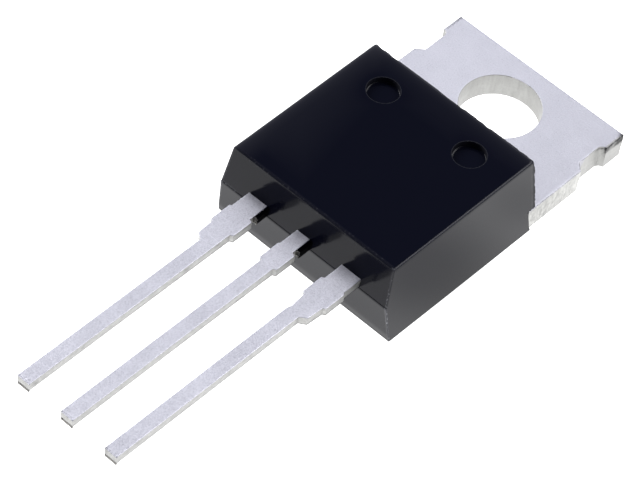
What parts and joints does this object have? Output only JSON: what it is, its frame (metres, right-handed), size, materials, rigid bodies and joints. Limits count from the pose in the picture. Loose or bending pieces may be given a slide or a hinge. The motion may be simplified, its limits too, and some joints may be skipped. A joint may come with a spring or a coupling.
{
  "type": "adjustable voltage regulator",
  "caption": "Adjustable voltage regulator in a moulded power package: a flat heat tab with a screw hole at one end of a resin body and straight in-line leads at the other.",
  "frame": {"origin": "where the axis of the mounting hole meets the flat back of the tab", "axes": "+Z out of the back's plane towards the body's top, -Y along the leads towards their tips, +X across the lead row towards the input lead"},
  "size_m": [0.0102, 0.0299, 0.0044],
  "materials": {
    "moulded_resin": "fine matt moulded epoxy",
    "plated_tab": "matt silver plating over copper alloy, with sheared edges",
    "plated_lead": "matt silver plating over copper alloy, with sheared edges",
    "solder": "dull solder",
    "silicon": "polished silicon",
    "bond_wire": "drawn wire"
  },
  "bodies": {
    "root": {"moulded_body": "moulded_resin", "heat_tab": "plated_tab", "adjust_lead": "plated_lead", "input_lead": "plated_lead", "die_solder": "solder", "silicon_die": "silicon", "adjust_wire": "bond_wire", "input_wire": "bond_wire", "output_wire": "bond_wire"}
  },
  "joints": []
}
